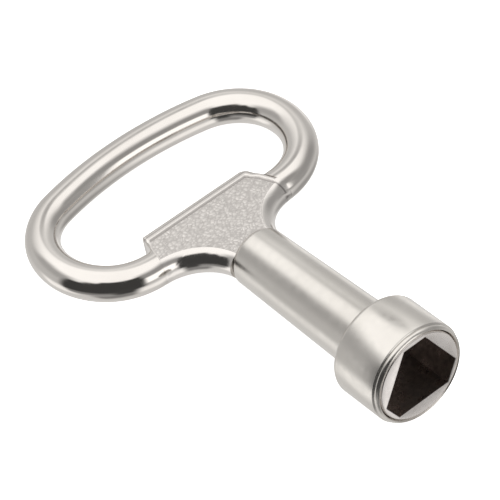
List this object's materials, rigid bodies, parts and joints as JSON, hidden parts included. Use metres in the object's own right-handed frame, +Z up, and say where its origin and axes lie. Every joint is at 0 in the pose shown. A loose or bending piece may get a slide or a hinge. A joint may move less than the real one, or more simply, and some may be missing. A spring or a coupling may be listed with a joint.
{
  "type": "radiator bleed key",
  "caption": "Small utility key: a round head with a recessed three-sided socket, a short shank and a D-shaped finger loop with a flat textured grip web.",
  "frame": {"origin": "centre of the socket's mouth, on the flat end face of the head", "axes": "+Y runs from the end face along the shank to the finger loop, +X across the loop, +Z up and square to the loop's plane, through one corner of the socket"},
  "size_m": [0.049, 0.0711, 0.016],
  "materials": {
    "bright_plate": "bright nickel plate, glossy",
    "cast_plate": "plated casting, pebbled field with smooth borders",
    "satin_plate": "satin plated, soft sheen",
    "socket_metal": "flat machined face, matt, darker inside the socket"
  },
  "bodies": {
    "root": {"bow_ring": "bright_plate", "grip_web": "cast_plate", "shank": "satin_plate", "head_sleeve": "satin_plate", "socket_core": "socket_metal"}
  },
  "joints": []
}
